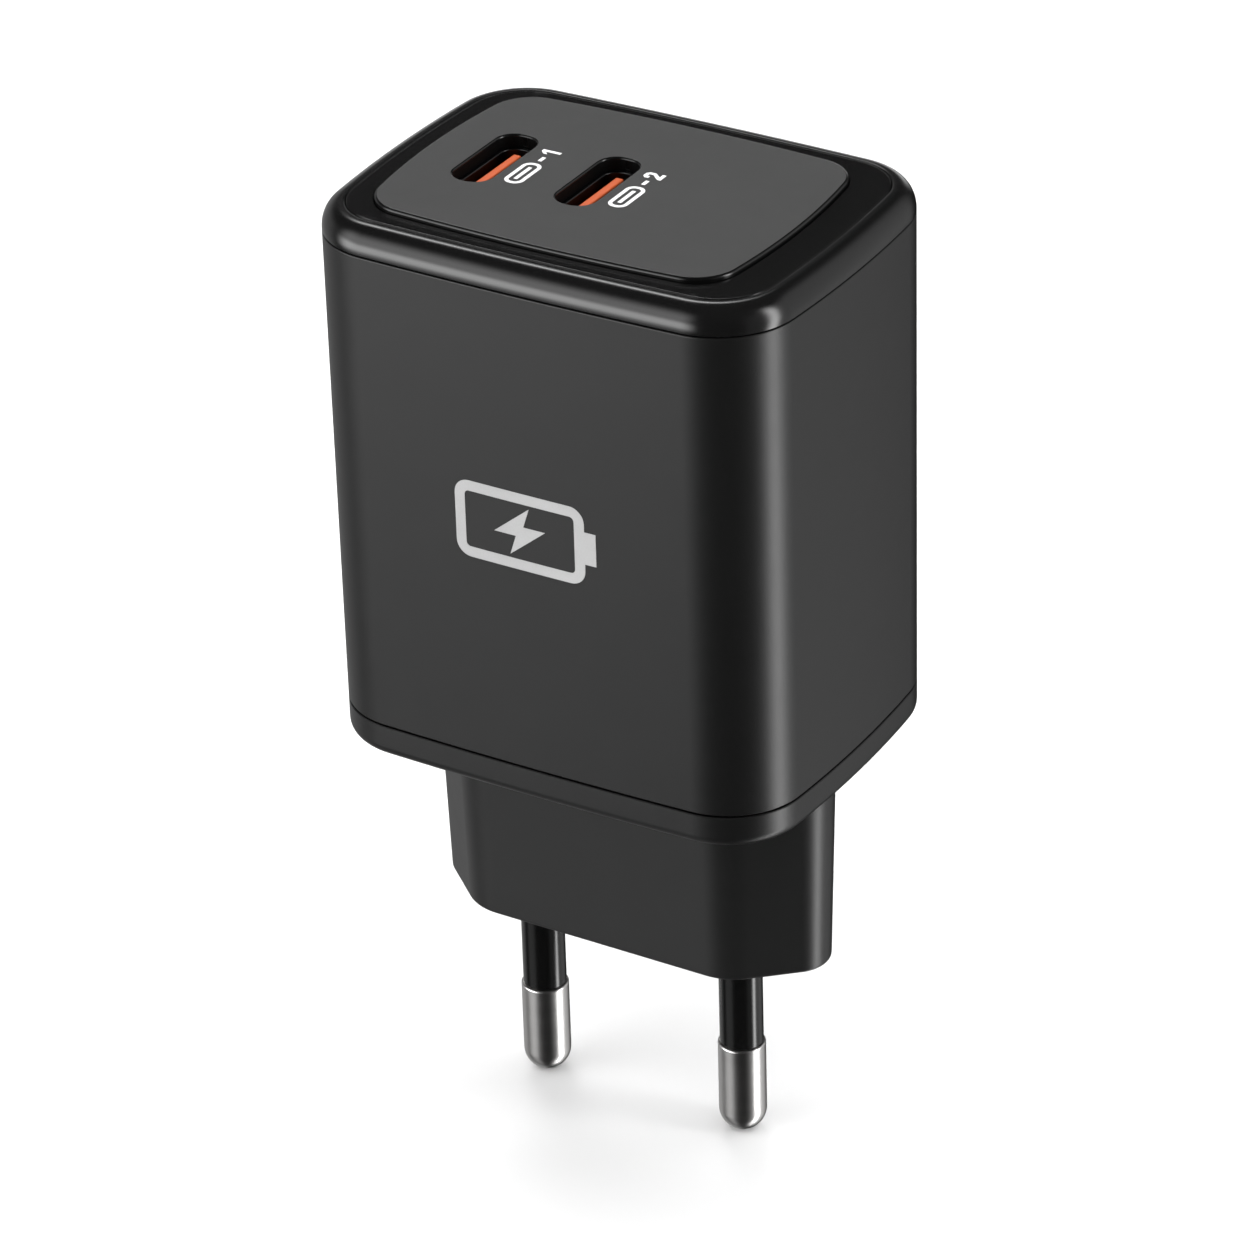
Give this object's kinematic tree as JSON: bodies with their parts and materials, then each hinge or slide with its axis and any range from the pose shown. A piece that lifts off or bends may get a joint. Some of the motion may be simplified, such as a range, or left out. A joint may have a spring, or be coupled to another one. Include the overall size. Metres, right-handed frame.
{
  "type": "usb wall charger",
  "caption": "Upright wall charger with a bowed rectangular housing, a flat mains plug with round sleeved pins below and USB-C ports in a raised plate on top.",
  "frame": {"origin": "centre of the mains plug's engagement face, the flat face that meets the wall socket, midway between the pins", "axes": "+Z from the wall towards the USB-C ports, so the pins point to -Z; +X along the line through the pins, from the line pin to the neutral pin; -Y is the front with the printed mark"},
  "size_m": [0.0416, 0.0308, 0.0842],
  "materials": {
    "housing_satin": "satin, very fine spark-eroded texture",
    "cap_satin": "smooth satin",
    "plug_satin": "smooth satin",
    "bezel_gloss": "gloss, piano black",
    "plate_matte": "matte, very fine grain",
    "print_grey": "pad print, light grey",
    "print_white": "pad print, white",
    "pin_nickel": "bright nickel plate on brass",
    "pin_sleeve": "gloss, black",
    "contact_brass": "bright strip",
    "board_green": "solder mask over glass laminate",
    "port_steel": "drawn, bright",
    "tongue_orange": "smooth moulding",
    "contact_gold": "gold flash",
    "ferrite": "sintered, dull",
    "winding_tape": "polyester tape",
    "can_sleeve": "shrink sleeve over aluminium can",
    "can_bare": "bare can",
    "film_yellow": "moulded box",
    "ceramic_blue": "epoxy dip",
    "choke_green": "coated ring core",
    "copper_wire": "enamelled copper",
    "fuse_glass": "ceramic tube with metal caps",
    "chip_black": "moulded epoxy",
    "coupler_white": "moulded",
    "pad_grey": "soft silicone",
    "spreader_metal": "mill finish",
    "sheet_amber": "polyester film"
  },
  "bodies": {
    "root": {"body_sleeve": "housing_satin", "top_cap": "cap_satin", "bezel_ring": "bezel_gloss", "port_plate": "plate_matte", "bottom_cap": "housing_satin", "front_mark": "print_grey", "port_1_label": "print_white", "port_2_label": "print_white", "plug_base": "plug_satin", "line_pin": "pin_nickel", "neutral_pin": "pin_nickel", "line_pin_sleeve": "pin_sleeve", "neutral_pin_sleeve": "pin_sleeve", "line_contact": "contact_brass", "neutral_contact": "contact_brass", "main_board": "board_green", "port_board": "board_green", "board_header": "chip_black", "port_1_shell": "port_steel", "port_2_shell": "port_steel", "port_1_tongue": "tongue_orange", "port_2_tongue": "tongue_orange", "port_1_contacts": "contact_gold", "port_2_contacts": "contact_gold", "port_1_insulator": "chip_black", "port_2_insulator": "chip_black", "transformer_core": "ferrite", "transformer_bobbin": "chip_black", "transformer_winding": "winding_tape", "bulk_capacitor_1": "can_sleeve", "bulk_capacitor_2": "can_sleeve", "output_capacitor_1": "can_bare", "output_capacitor_2": "can_bare", "suppression_capacitor": "film_yellow", "safety_capacitor": "ceramic_blue", "choke_core": "choke_green", "choke_winding": "copper_wire", "fuse": "fuse_glass", "bridge_rectifier": "chip_black", "power_switch": "chip_black", "thermal_pad": "pad_grey", "heat_spreader": "spreader_metal", "rectifier_switch": "chip_black", "mains_controller": "chip_black", "isolating_coupler": "coupler_white", "port_controller": "chip_black", "output_inductor": "ferrite", "insulation_sheet": "sheet_amber"}
  },
  "joints": []
}
